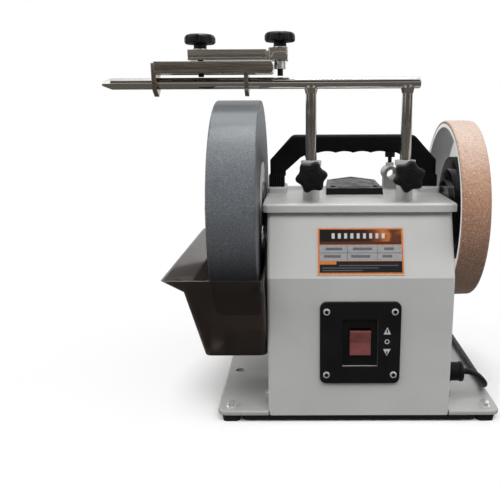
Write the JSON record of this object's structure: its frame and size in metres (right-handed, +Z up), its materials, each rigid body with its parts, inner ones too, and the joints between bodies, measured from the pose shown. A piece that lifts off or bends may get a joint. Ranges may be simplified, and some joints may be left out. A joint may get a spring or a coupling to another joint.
{
  "type": "wet grinding sharpener",
  "caption": "Bench sharpener with a water-cooled stone, a leather honing wheel, a friction drive, a tool support bar and a straight-edge jig.",
  "frame": {"origin": "on the bench plane under the middle of the casing, directly below the main axle", "axes": "+X along the main axle towards the honing wheel, +Y to the rear, +Z up"},
  "size_m": [0.43, 0.307, 0.417],
  "materials": {
    "casing_paint": "satin light grey paint",
    "cap_paint": "satin pale grey paint",
    "plate_paint": "satin light grey paint",
    "black_steel": "black",
    "rubber": "matte",
    "bright_screws": "bright zinc",
    "black_plastic": "fine moulded grain",
    "gloss_black": "moulded gloss",
    "label_film": "printed film, blank pattern",
    "red_plastic": "moulded",
    "cord_sheath": "matte",
    "pale_plastic": "moulded",
    "cast_grey": "as cast",
    "cast_alloy": "die cast",
    "bronze": "turned",
    "zinc_steel": "plated",
    "chrome": "polished",
    "stone": "fine aluminium oxide grain",
    "paper": "plain blotter",
    "drum_grey": "satin grey",
    "leather": "tan, oiled",
    "motor_steel": "plain",
    "smoked_plastic": "smoky, see-through",
    "bright_rod": "nickel plated",
    "nickel_cast": "dark nickel on casting"
  },
  "bodies": {
    "frame": {"housing_shell": "casing_paint", "base_plate": "plate_paint", "bottom_cover": "black_steel", "rubber_feet": "rubber", "foot_bolts": "bright_screws", "side_bolts": "bright_screws", "top_cap": "cap_paint", "cap_screws": "bright_screws", "vertical_sleeves": "cap_paint", "horizontal_sleeves": "cap_paint", "carry_handle": "black_plastic", "handle_screws": "bright_screws", "cover_plate": "black_plastic", "cover_screws": "bright_screws", "rating_plate": "label_film", "switch_panel": "black_plastic", "panel_screws": "bright_screws", "switch_body": "black_plastic", "cable_gland": "black_plastic", "power_cord": "cord_sheath", "power_plug": "cord_sheath", "run_capacitor": "pale_plastic", "bearing_carriers": "cast_grey", "shaft_bushes": "bronze", "carrier_screws": "bright_screws", "pivot_brackets": "zinc_steel", "pivot_pin": "zinc_steel", "spring_bracket": "zinc_steel", "motor_spring": "zinc_steel", "tank_studs": "chrome"},
    "wheel_set": {"main_axle": "zinc_steel", "grinding_stone": "stone", "stone_labels": "paper", "inner_flange": "black_steel", "outer_flange": "black_steel", "stone_nut": "zinc_steel", "drive_wheel": "gloss_black", "drive_tyre": "rubber", "honing_drum": "drum_grey", "leather_band": "leather", "honing_knob": "black_plastic"},
    "motor_mount": {"motor_cradle": "zinc_steel", "motor_stator": "motor_steel", "motor_end_bells": "cast_alloy", "motor_bearings": "zinc_steel"},
    "rotor": {"motor_rotor": "motor_steel", "motor_shaft": "zinc_steel", "cooling_fan": "black_plastic"},
    "rocker": {"rocker_button": "red_plastic"},
    "left_knob": {"left_star_knob": "black_plastic"},
    "right_knob": {"right_star_knob": "black_plastic"},
    "left_screw": {"left_rear_screw": "black_plastic"},
    "right_screw": {"right_rear_screw": "black_plastic"},
    "tank": {"water_tank": "smoked_plastic"},
    "support": {"universal_support": "bright_rod"},
    "jig_carrier": {"jig_bushes": "bronze"},
    "jig_base": {"jig_lower_plate": "nickel_cast"},
    "jig_clamp": {"jig_clamp_bar": "nickel_cast"},
    "jig_knob_left": {"jig_left_knob": "black_plastic"},
    "jig_knob_right": {"jig_right_knob": "black_plastic"}
  },
  "joints": [
    {"name": "wheel_spin", "type": "hinge", "parent": "frame", "child": "wheel_set", "pos_m": [0, 0, 0.223], "axis": [1, 0, 0], "continuous": true},
    {"name": "motor_swing", "type": "hinge", "parent": "frame", "child": "motor_mount", "pos_m": [0, -0.0484, 0.1397], "axis": [1, 0, 0], "range_deg": [-3, 0], "stiffness_Nm_per_rad": 20, "springref_deg": 5.73, "deforming": ["motor_spring"]},
    {"name": "motor_spin", "type": "hinge", "parent": "motor_mount", "child": "rotor", "pos_m": [0, 0.02, 0.16217], "axis": [1, 0, 0], "continuous": true},
    {"name": "rocker_tilt", "type": "hinge", "parent": "frame", "child": "rocker", "pos_m": [0, -0.101, 0.094], "axis": [1, 0, 0], "range_deg": [-12, 12]},
    {"name": "left_knob_turn", "type": "hinge", "parent": "frame", "child": "left_knob", "pos_m": [-0.0515, -0.07, 0.268], "axis": [0, -1, 0], "range_deg": [0, 720]},
    {"name": "right_knob_turn", "type": "hinge", "parent": "frame", "child": "right_knob", "pos_m": [0.0515, -0.07, 0.268], "axis": [0, -1, 0], "range_deg": [0, 720]},
    {"name": "left_rear_screw_turn", "type": "hinge", "parent": "frame", "child": "left_screw", "pos_m": [-0.0515, 0.077, 0.275], "axis": [0, 0, 1], "range_deg": [0, 720]},
    {"name": "right_rear_screw_turn", "type": "hinge", "parent": "frame", "child": "right_screw", "pos_m": [0.0515, 0.077, 0.275], "axis": [0, 0, 1], "range_deg": [0, 720]},
    {"name": "tank_lift", "type": "slide", "parent": "frame", "child": "tank", "axis": [0, 0, 1], "range_m": [0, 0.008]},
    {"name": "support_lift", "type": "slide", "parent": "frame", "child": "support", "axis": [0, 0, 1], "range_m": [-0.01, 0.05]},
    {"name": "jig_slide", "type": "slide", "parent": "support", "child": "jig_carrier", "axis": [1, 0, 0], "range_m": [-0.045, 0.05]},
    {"name": "jig_swing", "type": "hinge", "parent": "jig_carrier", "child": "jig_base", "pos_m": [-0.168, -0.044, 0.365], "axis": [1, 0, 0], "range_deg": [-45, 60]},
    {"name": "jig_clamp_open", "type": "slide", "parent": "jig_base", "child": "jig_clamp", "axis": [0, 0, 1], "range_m": [0, 0.006]},
    {"name": "jig_left_knob_turn", "type": "hinge", "parent": "jig_clamp", "child": "jig_knob_left", "pos_m": [-0.1682, -0.044, 0.4], "axis": [0, 0, 1], "range_deg": [0, 720]},
    {"name": "jig_right_knob_turn", "type": "hinge", "parent": "jig_clamp", "child": "jig_knob_right", "pos_m": [-0.0842, -0.044, 0.4], "axis": [0, 0, 1], "range_deg": [0, 720]}
  ],
  "couplings": [
    {"joint": "motor_spin", "follows": "wheel_spin", "ratio": -15}
  ]
}
